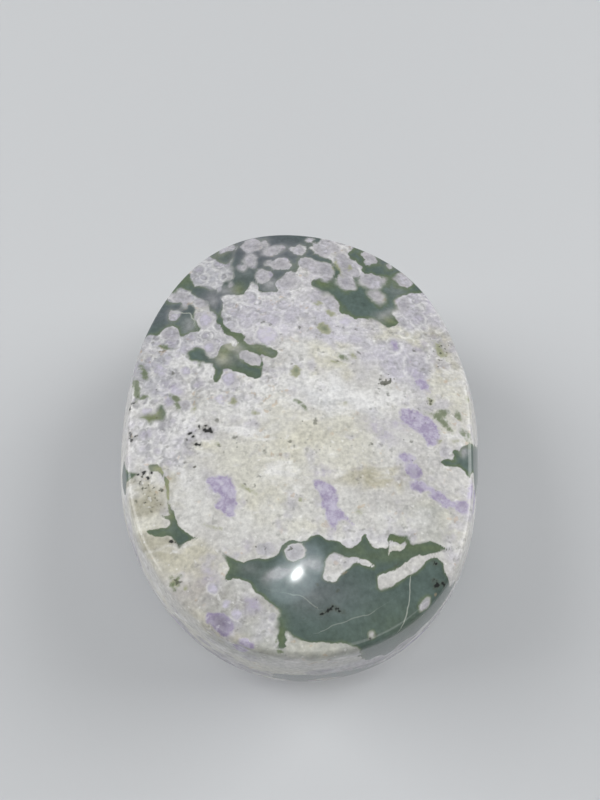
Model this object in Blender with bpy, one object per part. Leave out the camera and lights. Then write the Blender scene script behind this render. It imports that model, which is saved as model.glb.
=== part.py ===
"""A polished palm stone: one solid, rounded oval, flat enough on top to rest a thumb on."""
import math

import bmesh
import bpy
from mathutils import Vector

# Driving dimensions, in metres. Y runs along the stone, X across it, Z up.
LENGTH = 0.0579
WIDTH = 0.047
THICKNESS = 0.021

# The outline at the widest level: a slightly full oval, ground by hand
OVAL_FULLNESS = 2.04
# Each wave of the hand grinding: crests round the stone, height, bearing of one crest in degrees
GRINDING_WAVES = (
    (3, 0.00010, 20),
    (4, 0.00022, 26),
    (5, 0.00008, 25),
    (6, 0.00008, -9),
    (7, 0.00011, 1),
)

# The profile from top to bottom. Slopes are measured down from level.
DOME_RISE = 0.0014
DOME_EDGE_SLOPE = math.radians(8)
SHOULDER_RADIUS = 0.00085
SIDE_WALL_SLOPE = math.radians(63)
END_WALL_SLOPE = math.radians(82)
GIRTH_HEIGHT = 0.0064
UNDERSIDE_FULLNESS = 2.2
FLAT_SPOT_SHARE = 0.35

# How finely each stretch of the profile is faceted
SEGMENTS = 120
DOME_RINGS = 6
SHOULDER_RINGS = 6
WALL_RINGS = 6
UNDERSIDE_RINGS = 9

STONE_COLOUR = (0.56, 0.55, 0.52, 1.0)
STONE_ROUGHNESS = 0.18


def clear_scene():
    for thing in list(bpy.data.objects):
        bpy.data.objects.remove(thing, do_unlink=True)


def oval_radius(bearing):
    """Distance from the middle to the widest edge, before it is fitted to the stated size."""
    across = abs(math.cos(bearing)) / (WIDTH / 2)
    along = abs(math.sin(bearing)) / (LENGTH / 2)
    radius = (across**OVAL_FULLNESS + along**OVAL_FULLNESS) ** (-1 / OVAL_FULLNESS)
    for crests, height, crest_bearing in GRINDING_WAVES:
        radius += height * math.cos(crests * (bearing - math.radians(crest_bearing)))
    return radius


def girth_points():
    """The widest outline, centred on the origin and exactly LENGTH by WIDTH."""
    bearings = [2 * math.pi * step / SEGMENTS for step in range(SEGMENTS)]
    points = [oval_radius(b) * Vector((math.cos(b), math.sin(b))) for b in bearings]
    low = Vector((min(p.x for p in points), min(p.y for p in points)))
    high = Vector((max(p.x for p in points), max(p.y for p in points)))
    middle = (low + high) / 2
    size = high - low
    return [
        Vector(((p.x - middle.x) * WIDTH / size.x, (p.y - middle.y) * LENGTH / size.y)) for p in points
    ]


def wall_start(point):
    """Slope, height and radius of the wall where it leaves the shoulder, outward through a girth point.

    The wall leans out most at the two sides of the stone and least at its two ends.
    """
    endness = (point.y / point.length) ** 2
    slope = SIDE_WALL_SLOPE + (END_WALL_SLOPE - SIDE_WALL_SLOPE) * endness
    shoulder_drop = SHOULDER_RADIUS * (math.cos(DOME_EDGE_SLOPE) - math.cos(slope))
    height = THICKNESS - DOME_RISE - shoulder_drop
    radius = (height - GIRTH_HEIGHT) / math.cos(slope)
    return slope, height, radius


def shoulder_place(point, share):
    """Inset from the girth and height on the shoulder: share 0 is the dome's edge, 1 the wall's top."""
    wall_slope, wall_top, wall_radius = wall_start(point)
    slope = DOME_EDGE_SLOPE + (wall_slope - DOME_EDGE_SLOPE) * share
    wall_reach = wall_radius * (1 - math.sin(wall_slope))
    inset = wall_reach + SHOULDER_RADIUS * (math.sin(wall_slope) - math.sin(slope))
    return inset, wall_top + SHOULDER_RADIUS * (math.cos(slope) - math.cos(wall_slope))


def wall_place(point, share):
    """Inset from the girth and height on the wall: share 0 is its top and share 1 is the girth."""
    wall_slope, _, wall_radius = wall_start(point)
    slope = wall_slope + (math.pi / 2 - wall_slope) * share
    return wall_radius * (1 - math.sin(slope)), GIRTH_HEIGHT + wall_radius * math.cos(slope)


def dome_ring(girth, share):
    """One ring of the dome, at a share of the way out to the dome's edge."""
    ring = []
    for point in girth:
        inset, _ = shoulder_place(point, 0)
        edge = point.length - inset
        bulge = edge * math.tan(DOME_EDGE_SLOPE) / DOME_RISE
        flat = point.normalized() * edge * share
        height = THICKNESS - DOME_RISE * share**bulge
        ring.append(Vector((flat.x, flat.y, height)))
    return ring


def side_ring(girth, place, share):
    """One ring of the shoulder or the wall, whichever the place function describes."""
    ring = []
    for point in girth:
        inset, height = place(point, share)
        flat = point.normalized() * (point.length - inset)
        ring.append(Vector((flat.x, flat.y, height)))
    return ring


def underside_ring(girth, share):
    """One ring below the girth: share 1 is the girth and share 0 is the flat spot's rim."""
    reach = FLAT_SPOT_SHARE + (1 - FLAT_SPOT_SHARE) * share
    height = GIRTH_HEIGHT * (1 - (1 - share**UNDERSIDE_FULLNESS) ** (1 / UNDERSIDE_FULLNESS))
    return [Vector((point.x * reach, point.y * reach, height)) for point in girth]


def shares(count):
    """Even steps along a stretch of the profile, the last one at its end."""
    return [step / count for step in range(1, count + 1)]


def stone_rings():
    """Every ring of the stone, from the top of the dome down to the flat spot's rim."""
    girth = girth_points()
    rings = [dome_ring(girth, share) for share in shares(DOME_RINGS)]
    rings += [side_ring(girth, shoulder_place, share) for share in shares(SHOULDER_RINGS)]
    rings += [side_ring(girth, wall_place, share) for share in shares(WALL_RINGS)]
    rings += [underside_ring(girth, math.cos(share * math.pi / 2)) for share in shares(UNDERSIDE_RINGS)]
    return rings


def add_ring(mesh, points):
    """A closed loop of vertices and edges through the points."""
    verts = [mesh.verts.new(point) for point in points]
    return [mesh.edges.new((verts[i - 1], verts[i])) for i in range(len(verts))]


def close_ring(mesh, edges, height):
    """Fills a ring with triangles that meet at a point over the middle of the stone."""
    tip = mesh.verts.new((0, 0, height))
    for edge in edges:
        mesh.faces.new((edge.verts[0], edge.verts[1], tip))


def make_stone():
    mesh = bmesh.new()
    loops = [add_ring(mesh, points) for points in stone_rings()]
    for upper, lower in zip(loops, loops[1:]):
        bmesh.ops.bridge_loops(mesh, edges=upper + lower)
    close_ring(mesh, loops[0], THICKNESS)
    close_ring(mesh, loops[-1], 0.0)
    bmesh.ops.recalc_face_normals(mesh, faces=mesh.faces)

    data = bpy.data.meshes.new("palm_stone")
    mesh.to_mesh(data)
    mesh.free()
    data.shade_smooth()
    stone = bpy.data.objects.new("palm_stone", data)
    bpy.context.collection.objects.link(stone)
    return stone


def polished_stone():
    material = bpy.data.materials.new("polished_stone")
    material.use_nodes = True
    shader = material.node_tree.nodes["Principled BSDF"]
    shader.inputs["Base Color"].default_value = STONE_COLOUR
    shader.inputs["Roughness"].default_value = STONE_ROUGHNESS
    shader.inputs["Metallic"].default_value = 0.0
    return material


clear_scene()
make_stone().data.materials.append(polished_stone())
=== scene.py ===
"""Looks of the polished palm stone: one smooth piece whose markings are worked into its surface."""

import math

import bmesh
import bpy
import numpy as np
from mathutils import Matrix, Vector, noise


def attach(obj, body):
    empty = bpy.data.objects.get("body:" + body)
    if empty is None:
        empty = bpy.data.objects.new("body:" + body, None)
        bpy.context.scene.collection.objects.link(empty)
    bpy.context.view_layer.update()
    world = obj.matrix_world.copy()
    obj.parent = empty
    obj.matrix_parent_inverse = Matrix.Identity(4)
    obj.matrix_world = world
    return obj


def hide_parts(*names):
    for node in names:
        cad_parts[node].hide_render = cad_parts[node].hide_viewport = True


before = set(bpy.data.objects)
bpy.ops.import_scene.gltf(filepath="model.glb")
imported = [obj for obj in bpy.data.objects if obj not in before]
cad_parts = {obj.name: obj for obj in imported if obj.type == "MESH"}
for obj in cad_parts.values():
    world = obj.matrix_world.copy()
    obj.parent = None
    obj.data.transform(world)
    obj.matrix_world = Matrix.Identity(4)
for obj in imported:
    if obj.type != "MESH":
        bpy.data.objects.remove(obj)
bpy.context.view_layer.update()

MM = 0.001

# The stone's form: the same driving dimensions as the solid it covers, in metres
LENGTH = 0.0579
WIDTH = 0.047
THICKNESS = 0.021
OVAL_FULLNESS = 2.04
GRINDING_WAVES = (  # crests round the stone, height, bearing of one crest in degrees
    (3, 0.00010, 20),
    (4, 0.00022, 26),
    (5, 0.00008, 25),
    (6, 0.00008, -9),
    (7, 0.00011, 1),
)
DOME_RISE = 0.0014
DOME_EDGE_SLOPE = math.radians(8)
DOME_EDGE_HEIGHT = THICKNESS - DOME_RISE
SHOULDER_RADIUS = 0.00085
SIDE_WALL_SLOPE = math.radians(63)
END_WALL_SLOPE = math.radians(82)
GIRTH_HEIGHT = 0.0064
UNDERSIDE_FULLNESS = 2.2
FLAT_SPOT_SHARE = 0.35

# How finely the piece is drawn: each face count is a product, cut in two goes
FACE_COLUMNS = (88, 2)
FACE_ROWS = (52, 4)
SHOULDER_RINGS = 8
WALL_RINGS = 48
UNDERSIDE_RINGS = 26
GIRTH_RING = SHOULDER_RINGS + WALL_RINGS
SIDE_RINGS = GIRTH_RING + UNDERSIDE_RINGS

# The bake's map, as shares of its square: middles and widths of the two ovals, then the wall's strips
FACE_MAP_MIDDLE = (0.315, 0.61)
FACE_MAP_WIDTH = 0.61
FACE_MAP_RINGS = 2
UNDER_MAP_MIDDLE = (0.815, 0.72)
UNDER_MAP_WIDTH = 0.36
MAP_MARGIN = 0.01
FRONT_STRIP = 0.01
BACK_STRIP = 0.125
STRIP_HEIGHT = 0.1

# The camera: a phone held close over the stone, in metres and degrees
CAMERA_PLACE = Vector((-1.89, -35.31, 81.63)) * MM
CAMERA_TURN = 2.98
CAMERA_DOWN = 60.0
LENS = 27.0
SENSOR = 36.0
PHOTO_WIDTH = 600
PHOTO_HEIGHT = 800
FOCAL_PIXELS = LENS / SENSOR * PHOTO_HEIGHT
MM_PER_PIXEL = 0.15  # about what one photo pixel covers on the stone's face

# Floor, sky and lights, in metres; a light is its name, place, target, size and radiance
FLOOR_SIZE = 3.0
FLOOR_GAP = 0.00005
FLOOR_COLOUR = (0.58, 0.59, 0.60, 1.0)
FLOOR_ROUGHNESS = 0.65
SKY_COLOUR = (0.93, 0.96, 1.0, 1.0)
SKY_STRENGTH = 0.16
SOFT_LIGHTS = (
    ("soft_left", (-1.05, 0.32, 0.75), (0, 0.32, 0.3), (0.9, 0.95), 4.8),
    ("soft_right", (1.05, 0.32, 0.75), (0, 0.32, 0.3), (0.9, 0.95), 4.8),
    ("soft_top", (0, -0.45, 1.2), (0, 0, 0.02), (1.4, 0.4), 1.7),
)

# The glint on the face and the glow round it: name, distance, size, radiance and colour
GLINT_SPOT = (297, 573)
GLINT_ROLL = -52.0
GLINT_LIGHTS = (
    ("glint", 0.5, (0.005, 0.026), 150.0, (1, 1, 1)),
    ("glow", 0.55, (0.075, 0.12), 3.0, (0.76, 0.92, 1.0)),
)

# Stone colours, as they look on the stone
WHITE = (211, 210, 206)
BRIGHT_WHITE = (226, 225, 223)
BLUE_WHITE = (206, 208, 211)
CREAM = (209, 207, 195)
YELLOW_CREAM = (209, 206, 189)
TAN = (184, 179, 158)
BEIGE = (166, 162, 143)
# SHADED_CREAM is painted shade: the pale cream as it looks where the face is in shade
SHADED_CREAM = (165, 166, 159)
PINK_TAN = (180, 173, 167)
WARM_PALE = (201, 199, 195)
LILAC_WHITE = (201, 198, 208)
LILAC_GREY = (187, 184, 193)
COOL_GREY = (172, 172, 179)
LILAC_SHADE = (171, 166, 181)
NODULE_WHITE = (186, 183, 187)
NODULE_GREY = (160, 158, 164)
RIM_GREY = (148, 148, 150)
DUST_GREY = (128, 128, 122)
PALE_LILAC = (203, 198, 214)
LILAC = (176, 167, 192)
DEEP_LILAC = (142, 128, 162)
GREY_GREEN = (91, 106, 101)
DEEP_GREEN = (80, 94, 88)
SLATE = (97, 100, 108)
HAZE_GREY = (160, 161, 162)
OLIVE = (104, 117, 84)
PALE_OLIVE = (158, 160, 130)
DARK_OLIVE = (74, 88, 60)
BLACK = (36, 37, 36)
PEPPER_GREY = (84, 86, 74)
RUST = (188, 162, 130)
THREAD = (196, 200, 190)

# Markings, drawn as outlines and ovals on the photo: pixels right and down from its top left corner.
# An oval is (x, y, half width, half height, tilt in degrees); a soft patch has its strength as well.

# Green glassy bodies
TOP_ZONE = (
    (237, 243), (236, 228), (246, 212), (268, 203), (292, 210), (312, 198), (328, 212), (322, 236),
    (316, 246), (310, 257), (301, 258), (299, 265), (295, 272), (282, 276), (276, 284), (277, 291),
    (268, 293), (260.5, 291), (257, 285), (250, 282.5), (239, 281), (234, 277), (232, 271), (230, 263),
)
TOP_STREAK = (
    (302, 252), (312, 254), (322, 257.6), (331, 262), (337, 267), (339, 275),
    (335, 274.6), (331, 267), (321, 261.6), (311, 258), (302, 257),
)
UPPER_LEFT_PATCH = (
    (209.5, 257), (198, 246), (205, 234), (222, 230), (236.3, 243),
    (235, 252), (230, 263.4), (222, 264.6), (214.6, 259.5),
)
UPPER_LEFT_EDGE = (
    (173, 292), (168, 284), (178, 271), (188, 273), (191, 280), (193, 287), (190, 291), (182, 288.6),
)
GREY_BRIDGE = (
    (229, 266), (240, 278), (250, 282), (246, 288), (243, 294), (232, 293),
    (222, 296), (221, 302), (208, 303), (199, 297), (192, 291), (200, 286),
    (208, 287), (217, 291.5), (222, 289.5), (226, 281), (232, 279), (233, 274),
)
GREY_STREAK = (
    (198, 291), (221, 293), (220.5, 300), (223, 308), (220.5, 313), (222, 320), (226, 326.5),
    (231, 329.5), (239, 332.5), (246, 336.5), (254, 341), (263, 345), (274.5, 349),
    (279.6, 354), (274.5, 358), (263, 356), (253, 353), (247, 350.5), (243, 345), (237, 340.5),
    (229, 336), (222, 331), (217, 323), (214, 313), (211, 309), (208, 301.6), (199, 296.5),
)
LEFT_BODY = (
    (166, 298), (171, 302), (178, 304.5), (186, 305.6), (192, 305), (194, 311), (194, 317), (198, 326),
    (199, 330), (193, 332), (186.5, 336), (180, 335.4), (177.6, 331), (171, 328), (165, 328),
    (160, 333.5), (153, 336.7), (146, 336), (126, 340), (112, 326), (120, 306), (142, 296), (160, 294),
)
CENTRE_LEFT_BODY = (
    (189.5, 353.5), (193, 350.5), (197, 349), (202, 352), (207, 356), (214, 356.5), (219, 352), (221, 344),
    (230, 344.5), (238.5, 350), (240, 358), (250, 365), (259.5, 367), (262, 371), (260, 377.6), (252, 377),
    (241, 371.5), (230, 370.5), (224.5, 373), (220.5, 376.5), (218, 381.5), (215.5, 381), (214.5, 374),
    (212, 367.5), (208, 364), (201, 362), (199, 368), (196.6, 366), (196.4, 361), (190.5, 360),
)
NODULE_RING = (
    (236, 347), (241, 343), (247, 345), (254, 349), (261, 355),
    (263.5, 361), (261, 367), (252, 368), (243, 363), (237, 357),
)
UPPER_RIGHT_BODY = (
    (311, 284), (317, 279), (329.5, 277.6), (334.6, 276), (339.7, 283.8), (348.7, 290),
    (355, 289), (353.8, 277.4), (357.6, 277.4), (365, 275), (361.4, 266), (359, 261), (350, 257),
    (351, 250.6), (353, 240), (364, 226), (384, 220), (402, 232), (420, 244), (438, 264),
    (436, 282), (424, 292.7), (417.6, 292), (408.6, 292.7), (399.7, 296.5), (396, 303),
    (398.4, 308), (392, 314.4), (398.4, 322), (389.5, 327), (379, 322), (369, 319.5),
    (361.4, 318), (356, 319), (348.7, 315.7), (339.7, 309), (337, 303), (326, 297), (318, 291.6),
)
LEFT_SMALL_BODY = (
    (138, 418), (148, 415), (157, 416.6), (158.5, 407.7),
    (163.6, 406.4), (165, 419), (153, 420.4), (151, 425.5), (146, 421),
)
LEFT_VEIN = (
    (149.5, 466), (156, 465.7), (163.6, 471.4), (168.7, 478), (169.5, 488), (169, 497),
    (171, 504.6), (175, 511), (177, 520), (180, 527.6), (185, 532.7), (191.6, 536.5), (196, 538),
    (189, 541.6), (182.7, 545.4), (179, 548), (176, 543), (171, 538), (161, 536.5), (149.5, 534),
    (148, 530), (158.5, 528), (167.4, 527.6), (170, 522.4), (167.4, 518.6), (161, 515.4),
    (170, 514.8), (168.2, 507), (165.8, 496), (165, 487), (162.5, 479), (157, 472), (150.8, 470),
)
LEFT_EDGE_PATCH = ((138, 472), (128, 471), (112, 464), (96, 474), (100, 490), (118, 490), (130, 480))
RIGHT_EDGE_BODY = (
    (439.5, 461.5), (446, 460.4), (453, 461.5), (453.5, 456), (452, 451), (455, 448.5),
    (458.6, 451), (460.5, 454), (460.5, 449.5), (462, 446.5), (465, 445.5), (468.5, 444.5),
    (474, 443), (492, 436), (514, 444), (522, 470), (504, 490), (484, 486), (475.6, 473),
    (471, 479), (468, 476), (464.5, 471.5), (456, 467), (450, 465.5), (444, 464),
)
LOWER_BODY = (
    (221.5, 552), (230, 556), (243, 562.5), (250, 559), (263, 558), (277, 554), (282, 545), (290, 540),
    (300, 541.6), (309, 539), (318, 534), (328, 539), (337, 540), (344, 544), (351, 547), (359, 541.6),
    (365, 535), (369, 541.6), (374, 547), (382, 548), (388, 547), (387, 539), (391, 532.5),
    (398, 534.5), (407, 535.5), (409.5, 539.5), (413.5, 543), (431.6, 541.6), (443, 546.7), (461, 549),
    (444, 551), (436, 553), (438, 558), (442.5, 562), (446, 571), (450, 578), (464, 590), (484, 606),
    (488, 632), (466, 652), (450, 684), (420, 704), (392, 712), (372, 694), (364, 668), (359, 651),
    (355, 648), (346, 643), (326, 643), (310, 642), (297.7, 639.5), (290, 634), (287, 632.5),
    (285.4, 636), (287.2, 639.5), (285, 643), (286.4, 648), (277.6, 647.6), (278.4, 641),
    (275.2, 637.5), (277.6, 632), (275.6, 627), (277.6, 622), (276.4, 618), (280.4, 613), (268, 601),
    (255, 591), (249, 582.5), (238, 578.5), (225.5, 580), (229.5, 568),
)
GREEN_OUTLINES = (
    TOP_ZONE, TOP_STREAK, UPPER_LEFT_PATCH, UPPER_LEFT_EDGE, GREY_BRIDGE,
    GREY_STREAK, LEFT_BODY, CENTRE_LEFT_BODY, NODULE_RING, UPPER_RIGHT_BODY,
    LEFT_SMALL_BODY, LEFT_VEIN, LEFT_EDGE_PATCH, RIGHT_EDGE_BODY, LOWER_BODY,
)

# Pale pieces that lie inside the green
CROSSING_BAR = (
    (378, 585), (379, 576), (385.7, 573.5), (396, 569.6), (405, 563), (412, 558),
    (422.7, 555.6), (434, 553), (446, 552), (447, 560), (436.7, 557), (424, 563),
    (415, 571), (405, 577), (396, 582.4), (385.7, 587.5), (380.6, 588.8),
)
DRIFTING_BLOB = (
    (328, 557), (334.6, 554), (346, 558), (354, 558), (361.4, 559.4), (369, 559.4),
    (375.5, 567), (366.5, 564.5), (357.6, 563), (351, 566), (343.6, 571),
    (338.5, 578.6), (332, 582.4), (324.4, 580), (323, 575), (325.7, 566),
)
PALE_NOTCH = (
    (389, 542), (393, 541), (399, 544.5), (404, 542.5), (405, 546), (400, 549.5), (391, 550), (389.5, 555),
)
GREEN_INCLUSIONS = (CROSSING_BAR, DRIFTING_BLOB, PALE_NOTCH)

# Round pale nodules, each with a fine rim
NODULES = (
    (251.6, 245.5, 11.5, 6.2, 5), (272, 251, 9.8, 5.6, -20), (298.6, 250.4, 7, 5, 10),
    (250.3, 260.2, 7, 6.5, 30), (278.4, 264, 11.5, 6.2, 8), (263.1, 276.8, 7.5, 7.7, 0),
    (305, 263, 8, 6, 0), (226, 248.5, 7, 3.6, -24), (231.2, 285.7, 4, 3.8, 0), (173, 315.7, 5, 5, 0),
    (181.4, 297.8, 11.5, 6.8, 10), (186.6, 302.6, 3.6, 3.4, 0), (201.8, 303, 7.7, 5, 12),
    (205.7, 319.5, 9.4, 9.4, 0), (170, 333.5, 9, 9, 0), (210, 347.6, 9.5, 9.5, 0),
    (248.5, 340.5, 5.5, 3.4, 25), (249, 357.5, 10.4, 6, 30), (346.4, 266.6, 11.5, 9.4, 15),
    (344.6, 282.2, 10.6, 7.6, 38), (371.6, 281, 12.5, 7.7, 10), (376, 296.5, 8.6, 5.4, 25),
    (403, 280, 9, 6.2, 40), (371.6, 259, 9.8, 5.4, 22), (389, 267, 4, 2.4, 20),
    (325.4, 270.4, 9.6, 8, 30), (294.8, 552.8, 10.8, 8.8, 0), (265.6, 549, 11.5, 7.4, -4),
    (372.4, 634.6, 2, 2.2, 0), (425.5, 605, 5.8, 6.8, 20), (403.5, 305, 7, 9, 0), (185, 373, 6, 6, 0),
    (184, 405, 6.5, 6.5, 0), (233, 400, 4.5, 4.5, 0), (230.6, 379, 9.2, 9.2, 0),
    (236.5, 613.6, 6, 6, 0), (227, 604, 5.5, 5.5, 0), (213.7, 588, 6.5, 6.5, 0),
    (272.7, 617.6, 5, 5, 0), (330, 303.6, 11, 6.4, 35), (315.6, 297.6, 9, 5.4, 30), (443, 453, 5, 5, 0),
    (312, 267, 13, 5.4, 34), (310, 240, 4.6, 2.8, 0), (321, 250, 11, 5.6, 26), (334, 248, 8, 5.6, 20),
    (342, 257, 7, 4.6, 30), (265.5, 243, 5, 3, 10), (244, 268, 3.4, 3, 0), (288, 283, 9, 6.4, -20),
)
LILAC_ORBS = (
    (205.7, 320, 7, 7, 0), (267, 335.4, 11, 9.4, 10), (209, 347, 6, 6, 0), (160, 370, 7, 7, 0),
    (177, 392, 6, 5, 0), (345, 322, 7, 5, 0), (236.5, 613.6, 5.6, 5.6, 0), (220, 400, 7, 5, 0),
    (186, 372, 5, 5, 0), (230, 378, 7, 7, 0), (146, 412, 6, 6, 0), (413, 459, 4, 3.4, 40),
    (227, 604, 5, 5, 0), (213.7, 588, 5.6, 5.6, 0),
)

# Purple patches
PURPLE_LEFT = (
    (208, 479), (213, 478), (227, 476.5), (232, 483), (235, 492), (236, 499.5), (233.7, 510), (233.7, 516),
    (227, 516), (221, 511), (214.6, 507), (216, 501), (221, 498), (220, 494), (213, 492), (209.5, 487),
)
PURPLE_CENTRE = (
    (313, 480), (319, 479), (329.5, 483), (336, 492), (338.5, 506), (343.6, 513.5), (352.5, 522.4),
    (351, 524), (342, 520), (337, 525), (334.6, 531), (328, 522), (324, 508), (319, 496), (314, 487),
)
PURPLE_RIGHT = (
    (399.7, 410), (407, 409), (415, 411.5), (422.7, 414), (430, 420), (436.7, 425.5),
    (441.8, 437), (438, 443), (430, 444.6), (424, 438), (417.6, 430.6), (410, 427), (402, 421.7),
)
PURPLE_RIBBON = (
    (427, 486), (433, 486.5), (438, 489.5), (443, 494), (449, 499),
    (455, 502.5), (453, 508.5), (446, 507), (438, 502), (431, 496),
)
PURPLE_LOWER_LEFT = (
    (205.7, 617.6), (208, 612), (216, 613.6), (226, 616), (231, 621.6),
    (234, 628), (230, 632), (224.5, 635), (216, 632), (211, 627), (205.7, 624),
)
PURPLE_OUTLINES = (PURPLE_LEFT, PURPLE_CENTRE, PURPLE_RIGHT, PURPLE_RIBBON, PURPLE_LOWER_LEFT)
PURPLE_OVALS = (
    (406.5, 457, 7.4, 4.6, 38), (414.8, 470.5, 9.4, 7, 48), (419.5, 485, 8.4, 5, 14),
    (462, 506.5, 8, 7, 20), (472, 491, 3.4, 8, 6), (394.6, 345, 3.2, 4.8, -30),
    (422.5, 384.5, 9.4, 3.8, 42), (243, 643, 5, 4.5, 20), (248, 646, 5, 4, 0),
    (486, 500, 8, 12, 10), (236, 655, 9, 9, 0), (220, 622.5, 13, 10, 30),
)
DEEP_PURPLE = (
    (221, 623, 15, 12, 30, 2.3), (415, 473, 9, 7, 20, 1.1),
    (463, 507, 8, 7, 0, 0.9), (419, 486, 6, 4, 0, 0.5), (231, 504, 6, 9, 0, 0.4),
    (318, 492, 5, 9, -20, 0.4), (441, 498, 10, 4, 34, 0.3),
)
FAINT_PURPLE = (
    (398, 424, 12, 6, 30), (323, 472, 12, 8, 10), (210, 578, 12, 12, 0), (254, 605.5, 9, 8, 0),
    (242.7, 504.6, 4, 3.4, 0), (330, 528, 4, 8, 0), (431, 305, 5, 7, 0), (380, 430, 22, 9, 35),
    (175, 390, 10, 8, 0), (247, 545, 6, 8, 20), (418, 350, 7, 2.4, 40), (425, 345, 6, 2.2, 42),
    (418, 375, 7, 4, 40), (250, 603, 9, 5, 35),
)

# Small olive spots and streaks, with no clear rim
OLIVE_OVALS = (
    (324.4, 328.4, 6.8, 6, 20), (352.5, 355, 4.4, 2.6, 40), (334.6, 361.6, 4.5, 1.3, 10),
    (296, 371, 6, 5.6, 0), (440, 350, 10, 3.5, 55), (318, 304.5, 3.6, 1.8, 30), (330, 313, 4.6, 2, 30),
    (440, 441, 3, 2.4, 0), (359.5, 512, 4.4, 2.6, 30), (212, 527, 7.5, 1.8, 15),
    (175, 583, 4.6, 5.6, 20), (185.5, 588, 2.2, 2.2, 0), (241, 290, 4.4, 4.6, 0), (349, 268, 3, 3, 0),
    (337, 268, 4, 8, -30), (346, 402, 1.6, 2.2, 0), (194, 408, 2.4, 3.6, 30), (218, 444, 2.4, 1.8, 30),
    (255, 412, 3.4, 2.6, 0), (301, 499, 3, 2, 40), (246, 488, 9, 2, 30), (468, 399, 2.6, 3, 0),
    (430, 400.5, 3.4, 3.2, 0), (455, 441, 4, 2.4, 0), (471, 449, 3, 2, 0), (232.6, 401, 3.4, 3.8, 0),
)
LEAVES = (
    (171.4, 578.4, 2.4, 1.9, 0), (177, 579.6, 2.2, 2.8, 30), (172.4, 585, 2.4, 2, 20),
    (178.6, 585.6, 2, 2, 0), (175.4, 590, 2.2, 1.8, 0), (180.6, 577, 1.8, 1.8, 0), (281, 651, 2.2, 2, 0),
    (276.4, 641, 1.8, 1.8, 0), (298, 402, 5, 2.4, 38), (304.5, 407.5, 5, 2, 38), (343, 357, 5, 2, 30),
    (164, 347, 6, 2.2, 8), (143, 372, 2.8, 8, -32), (136, 388, 3.4, 10, -6), (145, 397, 4.6, 2.2, 0),
    (175, 398, 5.4, 4.2, 20), (176.5, 406, 3, 6, -20), (436, 416.4, 9, 2.4, 16),
    (443.4, 423.4, 10, 3, 46), (448.4, 429.6, 4.4, 3, 50), (444, 413.6, 5.2, 3, 6),
    (458, 415, 2.4, 6, -32), (464.5, 434.5, 2.4, 5.4, -38), (469, 437, 2.2, 5, -20),
)

# Dark specks and soft grey smudges
SPECKS = (
    (203.6, 430, 2.2, 1.8, 20), (211.4, 432, 2, 2.2, 0), (205.6, 425.6, 2, 1.6, 0),
    (196, 444, 2.2, 1.8, 0), (174, 544, 2.4, 1.8, 30), (135, 436.5, 1.8, 1.8, 0),
    (200.6, 427.2, 3, 2.2, 10), (207.6, 431.2, 4.8, 2.6, 0), (209.4, 427.8, 2.2, 2.4, 0),
    (190, 434.4, 2.2, 2, 0), (193.3, 436.6, 2, 2.8, 0), (187, 440, 2.4, 2.6, 0),
    (190.6, 441.2, 2, 2, 0), (199.7, 444.2, 3, 2, 25), (130, 435, 2, 5, -12), (132.4, 440, 2.4, 2, 10),
    (130.5, 405.5, 2, 4.4, 24), (134, 402.5, 2.6, 2, 0), (171, 541.4, 3.6, 2, 12),
    (176.8, 544.6, 2.2, 3.2, -38), (323, 613, 3.4, 2, -20), (328, 610.4, 4, 2, -30),
    (339.4, 610, 7, 2.9, 34), (332, 606.4, 2.4, 3, 0), (336.4, 607.6, 2.2, 1.8, 30),
    (437.4, 585, 3.6, 4.6, 0), (433.4, 581, 2, 2.2, 0), (441.4, 583.4, 4, 1.9, 0),
    (444.8, 587, 1.9, 2.6, 0), (143, 472.4, 3, 2, 20), (138.6, 474.5, 2.2, 2, 0),
    (151, 473.6, 2.2, 2, 30), (147.5, 478.5, 2.6, 2, 60), (140.6, 484.4, 2.4, 2, 30),
    (153, 483, 2, 2, 30), (371.6, 638.4, 3.8, 1.8, 0), (375, 635, 1.8, 2.6, 0), (434, 563, 3.6, 2, 10),
)
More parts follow.
